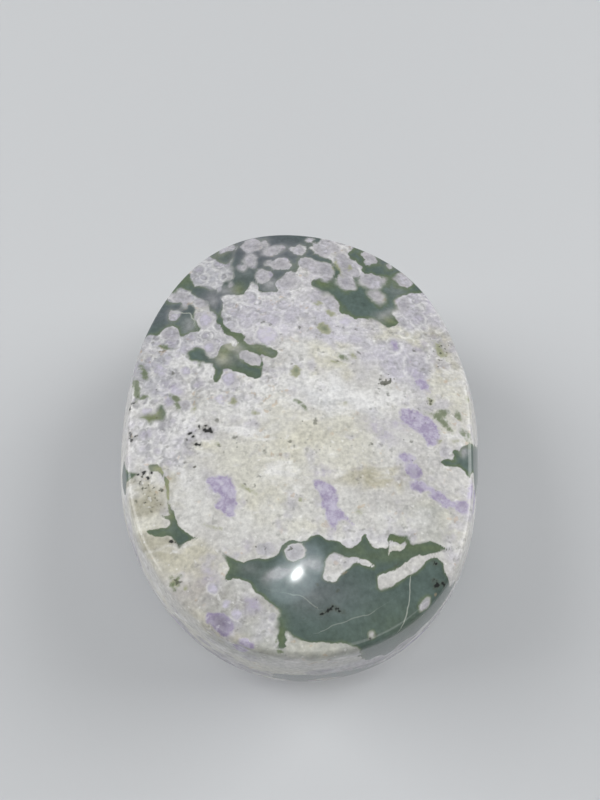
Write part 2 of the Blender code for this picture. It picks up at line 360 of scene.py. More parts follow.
SMUDGES = (
    (397, 563.6, 3.4, 2.6, 0), (441, 499, 6, 1.5, 48), (436, 492, 3, 1.5, 50), (424, 490, 3, 1.5, 20),
    (197.6, 429.6, 3.4, 2.4, -20), (195.5, 441.8, 3, 2, 10), (218.6, 445.2, 3, 2, 20),
    (216.5, 421, 4, 3, 0), (359, 479, 2, 4.4, 12), (388, 490, 2, 2, 0), (412.4, 442, 2.6, 2.6, 0),
    (370.4, 444.6, 2.6, 2, -30), (315.2, 421.7, 2.6, 4.4, 12), (349, 434.4, 2, 2, 0),
    (290.5, 442, 3, 3, 0), (294.3, 447, 2, 3.6, 10), (210.8, 558, 2.4, 2.2, 0), (422, 519, 3, 2, -30),
    (267.5, 322.5, 7, 1.8, 6), (299.4, 328.4, 2, 3.8, -40), (418, 409, 2.8, 2, 30),
    (429, 401, 3.4, 2.6, 20), (388.5, 393, 2.2, 2.4, 0), (381.4, 379, 1.5, 1.5, 0),
    (385, 384.4, 1.5, 1.5, 20), (391.4, 380, 1.5, 1.8, 0), (338.5, 591, 3.4, 1.8, 55),
    (317, 584.6, 2.4, 2.2, 30), (344.8, 573, 3.2, 2, -15), (264.5, 450, 3, 4, 10),
    (265.5, 442, 2, 2, 0), (374, 452, 2, 1.8, 0), (358.5, 352.4, 3, 2, 40), (415, 350.5, 3.6, 2, 15),
    (337, 361.4, 4.4, 1.8, 12), (356, 357, 2.4, 2.2, 0), (135.2, 502, 2, 2.2, 0),
    (150, 511, 3.6, 1.8, 42), (156, 500, 2, 2, 0), (161.6, 490, 2, 2, 0), (147, 497, 2, 1.8, 0),
    (136, 481, 2.4, 2, 0), (415, 418, 2, 2, 0), (258, 477, 3, 2, 0), (246, 484, 4, 1.8, 20),
    (253, 487, 3, 2, -20), (292, 364, 3, 1.6, 0), (322, 352, 3, 2, 0), (307, 440, 2, 2, 0),
    (234, 437, 4, 2.4, 10), (228, 320, 3, 2, 0), (224, 452, 2.6, 2, 0), (341, 328, 4, 2.4, 20),
    (357, 330, 3, 2, 30), (298, 495, 2.6, 2, 0), (172, 373, 3, 2, 40), (160, 352, 5, 1.8, 6),
    (246, 500, 2.6, 2, 0), (186, 462, 3, 2, 30), (282, 352, 3, 2, 0),
)

# Places peppered with fine dark specks, and how thickly
PEPPERED = (
    (141, 480, 12, 9, 20, 1), (152, 498, 17, 15, 30, 0.85), (176, 583, 8, 9, 0, 1.2),
    (158, 531, 10, 3.6, -6, 0.8), (190, 610, 14, 12, 30, 0.35), (265, 548, 9, 5, 0, 1.1),
    (292, 549, 7, 5, 0, 0.8), (386, 381, 9, 7, 0, 1.6), (430, 402, 6, 6, 0, 1),
    (438, 350, 10, 17, -30, 0.6), (408, 460, 8, 7, 30, 0.4), (225, 445, 26, 12, 20, 0.3),
    (266, 446, 5, 12, 0, 0.5), (196, 470, 8, 12, -20, 0.4), (405, 352, 12, 10, 40, 0.35),
    (443, 352, 10, 14, -20, 0.35), (318, 575, 22, 14, 0, 0.45),
    (328, 330, 20, 14, 0, 0.2), (300, 450, 90, 40, 0, 0.16), (410, 390, 50, 60, 0, 0.2),
    (150, 390, 30, 60, 0, 0.15), (240, 620, 50, 30, 0, 0.15),
)
RUST_SPOTS = (
    (445.6, 382, 2.2, 2.6, 0), (332, 433, 2.4, 2, 0), (339.7, 449.7, 2.6, 1.6, 20),
    (204, 604, 1.8, 1.4, 0), (190.4, 272.3, 2.2, 1.8, 0),
    (344.8, 573, 3.4, 1.6, -15), (437, 594.6, 1.8, 2.6, -20),
)

# Pale hairlines, each a chain of points
HAIRLINES = (
    ((411, 576), (410, 588), (409.5, 600), (407, 615), (402, 628)),
    ((174, 314), (189, 312), (192, 318), (193.5, 321)),
)
FAINT_HAIRLINES = (
    ((321, 631), (332, 626), (344, 622), (352, 619), (368, 615), (376, 610)),
    ((290, 594), (302, 597), (316, 607)),
)

# Clouds of tone in the pale stone, soft patches of each colour
CLOUDS = (
    (COOL_GREY, ((205, 290, 80, 34, -40, 3), (156, 362, 26, 28, 10, 2.6))),
    (LILAC_GREY, (
        (330, 262, 70, 26, 20, 1.6), (425, 308, 18, 26, -30, 3), (150, 440, 22, 26, 0, 1),
        (420, 372, 16, 20, -20, 1.2), (215, 484, 14, 12, 0, 0.8),
    )),
    (LILAC_WHITE, (
        (265, 312, 50, 20, -10, 2), (330, 325, 44, 12, 15, 2.2), (385, 358, 34, 16, 14, 1.8),
        (235, 376, 18, 9, 10, 1.6), (185, 348, 20, 14, 0, 1.2), (410, 302, 12, 14, 0, 6),
    )),
    (BLUE_WHITE, ((345, 402, 34, 10, 24, 2.4),)),
    (BRIGHT_WHITE, (
        (147, 450, 15, 13, 0, 3), (262, 397, 36, 13, -5, 5.5), (272, 412, 24, 8, 0, 3),
        (318, 384, 34, 8, 8, 3.2), (182, 433, 24, 9, -48, 5), (166, 452, 9, 20, 6, 5),
        (170, 468, 9, 12, 0, 4), (288, 348, 14, 8, 0, 2), (308, 368, 16, 10, 0, 2.5),
        (236, 384, 20, 10, 0, 4), (352, 539, 34, 7, 0, 2.6),
    )),
    (WHITE, (
        (372, 398, 26, 8, 20, 2.6), (215, 405, 26, 9, -20, 3.2), (280, 528, 30, 9, 0, 2.5),
        (292, 508, 24, 12, 0, 3.5), (245, 508, 12, 14, 0, 4), (388, 436, 16, 16, 0, 2.5),
        (315, 462, 24, 16, 0, 1.5), (280, 425, 20, 8, 0, 1.5), (190, 500, 14, 24, 0, 3),
        (305, 348, 22, 12, 10, 2), (395, 524, 36, 9, -4, 3.4), (442, 540, 16, 7, 0, 2.6),
        (235, 530, 12, 24, 10, 2), (345, 512, 16, 12, 0, 1.6), (240, 560, 20, 8, 0, 1.6),
    )),
    # Painted shade: the face made darker towards its lower and lower-left edge
    (SHADED_CREAM, (
        (438, 515, 26, 18, 0, 1.5), (265, 632, 18, 18, 0, 9),
        (234, 601, 32, 20, 20, 12), (315, 652, 80, 11, 0, 12),
    )),
    (WARM_PALE, ((456, 478, 18, 12, 10, 3),)),
    (YELLOW_CREAM, (
        (335, 355, 20, 12, 0, 3.6), (402, 334, 24, 9, 20, 2.4), (288, 418, 16, 6, 0, 1.4),
        (305, 440, 40, 26, 20, 1.8), (205, 446, 16, 8, 10, 2.4),
        (265, 502, 40, 12, 0, 1.5), (290, 525, 34, 9, 0, 1.6),
    )),
    (TAN, (
        (442, 350, 9, 24, -26, 2.4), (375, 477, 27, 8, -3, 6),
        (193, 565, 28, 18, 30, 4), (240, 638, 44, 12, 20, 4),
    )),
    (CREAM, (
        (350, 432, 30, 22, 10, 2), (250, 465, 34, 26, 0, 2), (330, 466, 36, 16, 0, 1.6),
        (455, 520, 16, 14, 0, 2), (430, 500, 14, 10, 0, 1.6), (448, 396, 14, 22, -10, 1.8),
        (146, 520, 18, 14, 0, 3), (193, 565, 28, 18, 30, 2.2),
    )),
    (BEIGE, ((151, 492, 15, 15, 12, 14), (158, 545, 22, 12, 20, 2.2))),
    (PINK_TAN, ((205, 590, 24, 18, 30, 5), (236, 600, 28, 16, 20, 7))),
)

# Blurred places inside the green: pale haze, blue-grey depth and olive shallows
HAZE = (
    # The patches beside the glint, at (309, 565), (315, 563), (270, 584) and (250, 568), are partly pale
    # haze in the stone and partly painted glow of the glint
    (278, 573.5, 13, 5.5, -22, 1.7), (309, 565, 12, 5, 10, 0.8),
    (220, 357, 13, 10, 30, 0.5), (188, 326, 9, 9, 0, 0.7), (395, 290, 14, 9, 20, 0.22),
    (270, 284, 10, 8, 0, 0.9), (240, 357, 7, 6, 0, 0.4), (315, 563, 9, 6, 20, 0.75),
    (330, 595, 50, 24, 0, 0.1), (243, 272, 10, 8, 0, 0.2), (464, 452.5, 4.4, 6, 10, 0.9),
    (312, 600, 20, 14, 0, 0.14), (386, 316, 13, 7, -20, 0.7), (262, 349, 20, 6, 25, 0.3),
    (231, 345, 12, 5, 28, 1.5), (224, 360, 7, 6, 0, 0.4), (228, 290, 16, 6, 0, 0.6),
    (212, 300, 9, 8, 0, 0.3), (250, 568, 14, 8, 0, 0.2), (402, 305, 6, 10, 0, 0.4),
    (270, 584, 12, 10, 0, 0.2), (213, 303, 5, 10, 0, 0.3), (158, 470, 14, 6, 10, 0.8),
    (168, 495, 7, 24, 0, 0.8), (152, 416, 16, 9, 0, 0.5),
)
SLATE_DEPTHS = (
    (262, 250, 60, 22, 0, 1), (280, 285, 30, 16, 0, 0.6), (320, 590, 40, 26, 10, 0.4),
    (215, 300, 22, 14, 0, 0.9), (165, 315, 30, 12, -20, 0.7),
    (390, 260, 30, 10, 30, 0.4), (300, 552, 18, 10, 0, 0.5), (222, 358, 16, 12, 0, 0.5),
)
OLIVE_SHALLOWS = (
    (226, 566, 12, 14, 0, 1), (281, 632, 8, 22, 0, 1), (325, 284, 18, 8, 10, 1),
    (391, 322, 12, 6, 10, 1), (428, 547, 34, 6, 5, 0.8), (397, 538, 14, 8, 0, 0.9),
    (220, 254, 16, 10, 0, 1), (184, 281, 16, 8, 0, 1), (240, 372, 26, 6, 15, 0.6),
    (160, 535, 18, 8, 0, 0.8), (168, 490, 8, 26, 0, 1.4), (157, 469, 12, 6, 10, 1.2),
    (172, 517, 9, 8, 0, 0.8), (425, 265, 20, 12, 40, 0.5), (390, 625, 60, 24, 0, 0.3),
    (385, 556, 46, 8, 0, 0.7), (352, 546, 16, 9, 0, 0.7), (252, 345, 40, 9, 30, 1.3),
    (224, 352, 16, 14, 0, 0.9), (152, 416, 18, 10, 0, 1.5), (240, 290, 8, 8, 0, 0.8),
)

# Where the pale stone is made of small round cells
ORBICULAR = (
    (215, 300, 110, 80, -35, 1), (350, 262, 90, 44, 18, 0.9), (160, 395, 44, 80, 8, 0.9),
    (240, 385, 70, 30, 0, 0.7), (425, 335, 40, 50, -20, 0.8), (240, 600, 60, 44, 0, 0.5),
    (170, 450, 40, 24, 0, 0.6), (430, 470, 40, 40, 0, 0.55), (395, 362, 44, 24, 14, 0.5),
    (345, 328, 40, 16, 14, 0.4),
)

# Where no white wisps cross the pale stone
QUIET_GROUND = (
    (228, 602, 42, 30, 35, 1), (196, 568, 28, 20, 35, 0.7),
    (315, 652, 80, 12, 0, 1), (151, 496, 17, 20, 0, 1), (240, 640, 44, 12, 20, 0.8),
    (440, 518, 34, 26, 0, 0.9), (210, 270, 22, 14, -30, 0.5),
)

# How the markings wander, in pixels; down the wall they wander further, by so much for each mm
FAR = 40.0  # beyond this distance from a marking nothing is measured
OFF_THE_PHOTO = -1000.0
GRAIN_FADE = 0.9  # how fast the finer grains grow weaker
GRAIN_STEP = 2.0  # how many times finer each next grain is
PATCH_FALL = 1.2  # how steeply a soft patch fades from its middle
WAVER = 1.6
WAVER_GRAIN = 1.4 * MM
DRIFT_BY_DEPTH = 1.6
DRIFT_GRAIN = 5 * MM
SWIRL_BY_DEPTH = 4.0
SWIRL_GRAIN = 3.5 * MM
CLOUD_DRIFT = 14.0
CLOUD_FALL = 1.5  # how steeply a cloud fades from its middle
CLEAR_GROUND = 0.35  # how much of the plain pale colour shows through the clouds

# What the photo doesn't show, from so many mm down the wall: made-up markings of the same kinds
UNSEEN_FROM = 4.5
UNSEEN_FADE = 5  # they come in over so many mm
SCATTER_FROM = 6.5
SCATTER_COUNT = 520
SCATTER_SEED = 23
SCATTER_RADII = (0.6, 1.75)
SCATTER_CROWD = 9 * MM
SCATTER_SHARE = 0.55  # how many of the tried places are used
SCATTER_CLUMPING = 1.2
UNSEEN_GREEN = {"size": 8 * MM, "octaves": 4, "offset": (11, 2, 5)}
UNSEEN_GREEN_LEVEL = 0.1
UNSEEN_GREEN_STEEPNESS = 60
UNSEEN_LILAC = {"size": 6 * MM, "offset": (21, 5, 3)}
UNSEEN_LILAC_LEVEL = 0.3
UNSEEN_LILAC_STEEPNESS = 50
UNSEEN_TONE = {"size": 11 * MM, "offset": (2, 9, 4)}
UNSEEN_SLATE = 0.4


def camera_axes():
    """The camera's right, up and forward directions."""
    turn = math.radians(CAMERA_TURN)
    down = math.radians(CAMERA_DOWN)
    level = Vector((math.sin(turn), math.cos(turn), 0))
    forward = level * math.cos(down) - Vector((0, 0, 1)) * math.sin(down)
    right = forward.cross(Vector((0, 0, 1))).normalized()
    return right, right.cross(forward), forward


def make_camera():
    right, up, forward = camera_axes()
    data = bpy.data.cameras.new("camera")
    data.lens = LENS
    data.sensor_width = SENSOR
    data.clip_start = 0.005
    data.clip_end = 20.0
    camera = bpy.data.objects.new("camera", data)
    turn = Matrix((right, up, -forward)).transposed().to_4x4()
    camera.matrix_world = Matrix.Translation(CAMERA_PLACE) @ turn
    bpy.context.collection.objects.link(camera)
    bpy.context.scene.camera = camera


def photo_spots(points):
    """Where points of the stone appear in the photo, in pixels."""
    right, up, forward = (np.array(axis) for axis in camera_axes())
    away = points - np.array(CAMERA_PLACE)
    depth = away @ forward
    across = PHOTO_WIDTH / 2 + FOCAL_PIXELS * (away @ right) / depth
    down = PHOTO_HEIGHT / 2 - FOCAL_PIXELS * (away @ up) / depth
    return np.column_stack([across, down])


# Form of the stone

def raw_outline(bearing):
    """The widest outline before it is centred: an oval with slight waves, as hand grinding leaves it."""
    across = np.abs(np.cos(bearing)) / (WIDTH / 2)
    along = np.abs(np.sin(bearing)) / (LENGTH / 2)
    radius = (across**OVAL_FULLNESS + along**OVAL_FULLNESS) ** (-1 / OVAL_FULLNESS)
    for crests, height, crest_bearing in GRINDING_WAVES:
        radius = radius + height * np.cos(crests * (bearing - math.radians(crest_bearing)))
    return np.column_stack([radius * np.cos(bearing), radius * np.sin(bearing)])


def girth_points(bearing):
    """Points of the widest outline, centred and fitted to the stone's length and width."""
    whole = raw_outline(np.linspace(0, 2 * math.pi, 720, endpoint=False))
    low, high = whole.min(0), whole.max(0)
    return (raw_outline(bearing) - (low + high) / 2) * np.array([WIDTH, LENGTH]) / (high - low)


def pulled_in(points, inset):
    reach = np.hypot(points[:, 0], points[:, 1])
    return points * ((reach - inset) / reach)[:, None]


def square_bearing(across, along):
    """The bearing of each point of a square, so that each side of it takes a quarter turn."""
    share = np.maximum(np.maximum(np.abs(across), np.abs(along)), 1e-9)
    quarter = math.pi / 4
    flank = np.where(across > 0, quarter * along / share, math.pi - quarter * along / share)
    end_turn = quarter * across / share
    end = np.where(along > 0, math.pi / 2 - end_turn, -math.pi / 2 + end_turn)
    return np.where(np.abs(across) >= np.abs(along), flank, end)


def side_profile(bearing, ring):
    """Inset from the girth, height, and distance down from the dome's edge; ring 0 is the dome's edge.

    The wall leans out most at the two sides of the stone and least at its two ends.
    """
    girth = girth_points(bearing)
    endness = (girth[:, 1] / np.hypot(girth[:, 0], girth[:, 1])) ** 2
    wall_slope = SIDE_WALL_SLOPE + (END_WALL_SLOPE - SIDE_WALL_SLOPE) * endness
    wall_top = DOME_EDGE_HEIGHT - SHOULDER_RADIUS * (math.cos(DOME_EDGE_SLOPE) - np.cos(wall_slope))
    wall_radius = (wall_top - GIRTH_HEIGHT) / np.cos(wall_slope)
    wall_reach = wall_radius * (1 - np.sin(wall_slope))
    shoulder_length = SHOULDER_RADIUS * (wall_slope - DOME_EDGE_SLOPE)

    bend = DOME_EDGE_SLOPE + (wall_slope - DOME_EDGE_SLOPE) * ring / SHOULDER_RINGS
    shoulder = (
        wall_reach + SHOULDER_RADIUS * (np.sin(wall_slope) - np.sin(bend)),
        wall_top + SHOULDER_RADIUS * (np.cos(bend) - np.cos(wall_slope)),
        SHOULDER_RADIUS * (bend - DOME_EDGE_SLOPE),
    )
    lean = wall_slope + (math.pi / 2 - wall_slope) * (ring - SHOULDER_RINGS) / WALL_RINGS
    wall = (
        wall_radius * (1 - np.sin(lean)),
        GIRTH_HEIGHT + wall_radius * np.cos(lean),
        shoulder_length + wall_radius * (lean - wall_slope),
    )
    return np.where(ring <= SHOULDER_RINGS, shoulder, wall)


def dome_edge(bearing):
    inset, _, _ = side_profile(bearing, np.zeros(len(bearing)))
    return pulled_in(girth_points(bearing), inset)


def dome_places(bearing, share):
    edge = dome_edge(bearing)
    bulge = np.hypot(edge[:, 0], edge[:, 1]) * math.tan(DOME_EDGE_SLOPE) / DOME_RISE
    return np.column_stack([edge * share[:, None], THICKNESS - DOME_RISE * share**bulge])


def side_places(bearing, ring):
    """Places on the shoulder and the wall."""
    inset, height, _ = side_profile(bearing, ring)
    return np.column_stack([pulled_in(girth_points(bearing), inset), height])


def underside_places(bearing, share):
    """Places under the girth: share 1 is the girth and share 0 is the flat spot's rim."""
    reach = FLAT_SPOT_SHARE + (1 - FLAT_SPOT_SHARE) * share
    height = GIRTH_HEIGHT * (1 - (1 - share**UNDERSIDE_FULLNESS) ** (1 / UNDERSIDE_FULLNESS))
    return np.column_stack([girth_points(bearing) * reach[:, None], height])


def deselect_all():
    bpy.ops.object.select_all(action="DESELECT")


def cut_edges_along(axis, pieces):
    """Divides every edge that runs along an axis into so many pieces, in edit mode."""
    for count in pieces:
        mesh = bmesh.from_edit_mesh(bpy.context.edit_object.data)
        bpy.ops.mesh.select_all(action="DESELECT")
        for edge in mesh.edges:
            run = edge.verts[0].co - edge.verts[1].co
            if abs(run[axis]) > 1e-6:
                edge.select_set(True)
        bpy.ops.mesh.subdivide(number_cuts=count - 1)


def make_block():
    """A block whose top is a grid and whose sides are rings, open at first and closed to one point below."""
    deselect_all()
    bpy.ops.mesh.primitive_cube_add(size=2)
    block = bpy.context.object
    bpy.ops.object.mode_set(mode="EDIT")
    bpy.ops.mesh.select_mode(type="FACE")
    bpy.ops.mesh.select_all(action="DESELECT")
    mesh = bmesh.from_edit_mesh(block.data)
    for face in mesh.faces:
        face.select_set(face.normal.z < -0.5)
    bpy.ops.mesh.delete(type="ONLY_FACE")
    bpy.ops.mesh.select_mode(type="EDGE")
    cut_edges_along(0, FACE_COLUMNS)
    cut_edges_along(1, FACE_ROWS)
    cut_edges_along(2, (SIDE_RINGS,))
    bpy.ops.mesh.select_all(action="DESELECT")
    mesh = bmesh.from_edit_mesh(block.data)
    for edge in mesh.edges:
        edge.select_set(edge.is_boundary)
    bpy.ops.mesh.edge_face_add()
    bpy.ops.mesh.poke()
    bpy.ops.object.mode_set(mode="OBJECT")
    return block


def point_places(mesh):
    places = np.empty(len(mesh.vertices) * 3)
    mesh.vertices.foreach_get("co", places)
    return places.reshape(-1, 3)


def grind(block):
    """Presses the block's points onto the stone's surface.

    Returns each point's ring, bearing, share of the way out, place unrolled flat and depth down the wall.
    """
    square = point_places(block.data)
    across, along, level = square.T
    share = np.maximum(np.abs(across), np.abs(along))
    bearing = square_bearing(across, along)
    ring = np.rint((1 - level) / 2 * SIDE_RINGS).astype(int)
    face = ring == 0
    under = ring > GIRTH_RING
    side = ~face & ~under

    places = np.empty_like(square)
    places[face] = dome_places(bearing[face], share[face])
    places[side] = side_places(bearing[side], ring[side])
    turn = (SIDE_RINGS - ring[under]) / UNDERSIDE_RINGS * math.pi / 2
    places[under] = underside_places(bearing[under], np.sin(turn))
    places[under & (share < 0.5)] = 0
    block.data.vertices.foreach_set("co", places.ravel())
    block.data.update()

    unrolled = places.copy()
    _, _, depth = side_profile(bearing, np.clip(ring, 0, GIRTH_RING))
    depth[under] += GIRTH_HEIGHT - places[under, 2]
    unrolled[side, :2] = pulled_in(dome_edge(bearing[side]), -depth[side])
    unrolled[side, 2] = DOME_EDGE_HEIGHT
    return ring, bearing, share, unrolled, depth


# Measuring the markings at each point of the surface

def rounded(outline):
    """A closed outline as a smooth loop through its corners."""
    corners = np.array(outline, float)
    before, after, later = np.roll(corners, 1, 0), np.roll(corners, -1, 0), np.roll(corners, -2, 0)
    loop = []
    for t in (0, 0.25, 0.5, 0.75):
        loop.append(
            0.5 * (
                2 * corners
                + (after - before) * t
                + (2 * before - 5 * corners + 4 * after - later) * t**2
                + (3 * corners - before - 3 * after + later) * t**3
            )
        )
    return np.stack(loop, 1).reshape(-1, 2)


def reach_from_stretch(spots, start, run):
    """The way from a straight stretch's start to each spot, and each spot's distance from the stretch."""
    away = spots - start
    along = np.clip(away @ run / max(run @ run, 1e-12), 0, 1)
    return away, np.hypot(*(away - along[:, None] * run).T)


def inside_outline(spots, outline):
    """How far inside an outline each spot lies, in pixels; less than 0 outside."""
    loop = rounded(outline)
    near = ((spots > loop.min(0) - FAR) & (spots < loop.max(0) + FAR)).all(1)
    spot = spots[near]
    nearest = np.full(len(spot), 1e9)
    inside = np.zeros(len(spot), bool)
    for start, end in zip(loop, np.roll(loop, -1, 0)):
        run = end - start
        away, distance = reach_from_stretch(spot, start, run)
        nearest = np.minimum(nearest, distance)
        if start[1] != end[1]:
            crosses = (start[1] > spot[:, 1]) != (end[1] > spot[:, 1])
            inside ^= crosses & (spot[:, 0] < start[0] + away[:, 1] * run[0] / run[1])
    depth = np.full(len(spots), -FAR)
    depth[near] = np.where(inside, nearest, -nearest)
    return depth


def oval_radius_share(spots, oval):
    """How far out each spot lies from an oval's middle: 1 on its rim."""
    x, y, half_width, half_height, tilt = oval[:5]
    turn = math.radians(tilt)
    away = spots - np.array((x, y))
    across = (away[:, 0] * math.cos(turn) + away[:, 1] * math.sin(turn)) / half_width
    down = (away[:, 1] * math.cos(turn) - away[:, 0] * math.sin(turn)) / half_height
    return np.hypot(across, down)


def inside_any(spots, ovals, outlines=()):
    """How far inside the nearest of some ovals and outlines each spot lies, in pixels."""
    depth = np.full(len(spots), -FAR)
    for outline in outlines:
        depth = np.maximum(depth, inside_outline(spots, outline))
    for oval in ovals:
        depth = np.maximum(depth, (1 - oval_radius_share(spots, oval)) * min(oval[2:4]))
    return depth


def soft_sum(spots, ovals, fall=PATCH_FALL):
    """Soft patches added together: each is as strong in its middle as its last number says."""
    total = np.zeros(len(spots))
    for oval in ovals:
        total += oval[-1] * np.exp(-fall * oval_radius_share(spots, oval) ** 2)
    return total


def nearest_line(spots, chains):
    """Signed distance to the nearest of some chains of points, in pixels: 0 on the line itself."""
    nearest = np.full(len(spots), FAR)
    for chain in chains:
        for start, end in zip(np.array(chain[:-1], float), np.array(chain[1:], float)):
            run = end - start
            away, distance = reach_from_stretch(spots, start, run)
            turn = np.sign(away[:, 0] * run[1] - away[:, 1] * run[0])
            nearest = np.where(distance < np.abs(nearest), turn * distance, nearest)
    return nearest


def linear(colour):
    """A stone colour as light, from 0 to 1 for red, green and blue."""
    shade = np.array(colour) / 255
    return np.where(shade <= 0.04045, shade / 12.92, ((shade + 0.055) / 1.055) ** 2.4)


def wander(places, size, octaves=3, offset=(0, 0, 0)):
    """Smooth random numbers round 0, from the place in the stone; size is the grain's in metres."""
    shift = Vector(offset)
    values = [
        noise.fractal(
            Vector(place) / size + shift, GRAIN_FADE, GRAIN_STEP, octaves, noise_basis="PERLIN_ORIGINAL"
        )
        for place in places
    ]
    return np.array(values)


def wander_both_ways(places, size, offset_across, offset_down):
    across = wander(places, size, offset=offset_across)
    down = wander(places, size, offset=offset_down)
    return np.column_stack([across, down])


def scattered_nodules(places, low_part):
    """Round nodules scattered where the photo doesn't show the stone, in pixels inside."""
    draw = np.random.RandomState(SCATTER_SEED)
    outward = (places - np.array((0, 0, THICKNESS / 2))) / np.array((WIDTH, LENGTH, THICKNESS)) * 2
    outward /= np.linalg.norm(outward, axis=1)[:, None]
    inside = np.full(len(places), -FAR)
    for _ in range(SCATTER_COUNT):
        aim = draw.normal(size=3)
        aim /= np.linalg.norm(aim)
        radius = draw.uniform(*SCATTER_RADII) * MM
        keep = draw.uniform()
        nearest = int(np.argmax(outward @ aim))
        centre = places[nearest]
        crowd = noise.noise(Vector(centre) / SCATTER_CROWD + Vector((3, 8, 1)))
        if not low_part[nearest] or keep > SCATTER_SHARE + SCATTER_CLUMPING * crowd:
            continue
        distance = np.linalg.norm(places - centre, axis=1)
        inside = np.maximum(inside, (radius - distance) / MM / MM_PER_PIXEL)
    return inside


def pale_ground(spots, unseen, tone):
    """The pale stone's colour: soft clouds of tone, painted shade towards the lower edge, and only lilac
    grey and cream where the photo ends.
    """
    pale = np.tile(np.array(WARM_PALE) * CLEAR_GROUND, (len(spots), 1))
    weight = np.full(len(spots), CLEAR_GROUND)
    shares = [(colour, soft_sum(spots, clouds, CLOUD_FALL)) for colour, clouds in CLOUDS]
    shares.append((LILAC_GREY, unseen * np.clip(tone * 5, 0, 2)))
    shares.append((CREAM, unseen * np.clip(-tone * 5, 0, 2)))
    for colour, share in shares:
        pale += share[:, None] * np.array(colour)
        weight += share
    return linear(pale / weight[:, None])


def measure_markings(places, unrolled, depth, under):
    """Every marking's field at each point of the surface: how many mm inside it, or how strong."""
    depth_mm = depth / MM
    still = np.where(under[:, None], OFF_THE_PHOTO, photo_spots(unrolled))
    waver = wander_both_ways(places, WAVER_GRAIN, (0, 0, 0), (7, 3, 9))
    drift = wander_both_ways(places, DRIFT_GRAIN, (1, 6, 2), (4, 4, 8))
    swirl = wander_both_ways(places, SWIRL_GRAIN, (5, 1, 1), (2, 2, 7))
    further = (drift * DRIFT_BY_DEPTH + swirl * SWIRL_BY_DEPTH) * depth_mm[:, None]
    spots = np.where(under[:, None], OFF_THE_PHOTO, still + waver * WAVER + further)

    unseen = np.clip((depth_mm - UNSEEN_FROM) / UNSEEN_FADE, 0, 1)
    held_back = (1 - unseen) * 4 * FAR
    bodies = (wander(places, **UNSEEN_GREEN) - UNSEEN_GREEN_LEVEL) * UNSEEN_GREEN_STEEPNESS - held_back
    green = np.maximum(inside_any(spots, (), GREEN_OUTLINES), bodies)
    green = np.minimum(green, -inside_any(spots, (), GREEN_INCLUSIONS))
    scattered = scattered_nodules(places, depth_mm > SCATTER_FROM)
    nodule = np.maximum(inside_any(spots, NODULES), scattered)
    patches = (wander(places, **UNSEEN_LILAC) - UNSEEN_LILAC_LEVEL) * UNSEEN_LILAC_STEEPNESS - held_back
    tone = wander(places, **UNSEEN_TONE)

    distances = {
        "green": np.minimum(green, -nodule),
        "nodule": nodule,
        "purple": np.maximum(inside_any(spots, PURPLE_OVALS, PURPLE_OUTLINES), patches),
        "orb": inside_any(spots, LILAC_ORBS),
        "olive": inside_any(spots, OLIVE_OVALS),
        "leaf": inside_any(spots, LEAVES),
        "rust": inside_any(spots, RUST_SPOTS),
        "speck": inside_any(still, SPECKS),
        "smudge": inside_any(still, SMUDGES),
        "hairline": nearest_line(spots, HAIRLINES),
        "faint_hairline": nearest_line(spots, FAINT_HAIRLINES),
    }
    fields = {name: distance * MM_PER_PIXEL for name, distance in distances.items()}
    fields["deep_purple"] = soft_sum(spots, DEEP_PURPLE)
    fields["faint_purple"] = soft_sum(spots, [oval + (1,) for oval in FAINT_PURPLE])
    fields["pepper"] = soft_sum(spots, PEPPERED)
    fields["haze"] = soft_sum(spots, HAZE)
    fields["slate"] = soft_sum(spots, SLATE_DEPTHS) + unseen * UNSEEN_SLATE
    fields["shallow"] = soft_sum(spots, OLIVE_SHALLOWS)
    fields["quiet"] = np.clip(soft_sum(spots, QUIET_GROUND), 0, 1)
    cells = np.maximum(soft_sum(spots, ORBICULAR), unseen * np.clip(0.5 + 2 * tone, 0, 1))
    fields["cells"] = np.clip(cells, 0, 1)
    fields["pale"] = pale_ground(spots + swirl * CLOUD_DRIFT, unseen, tone)
    return fields


def keep_fields(mesh, fields):
    for name, values in fields.items():
        if values.ndim == 2:
            layer = mesh.attributes.new(name, "FLOAT_COLOR", "POINT")
            layer.data.foreach_set("color", np.column_stack([values, np.ones(len(values))]).ravel())
        else:
            layer = mesh.attributes.new(name, "FLOAT", "POINT")
            layer.data.foreach_set("value", np.ascontiguousarray(values, dtype=np.float32))


# Materials

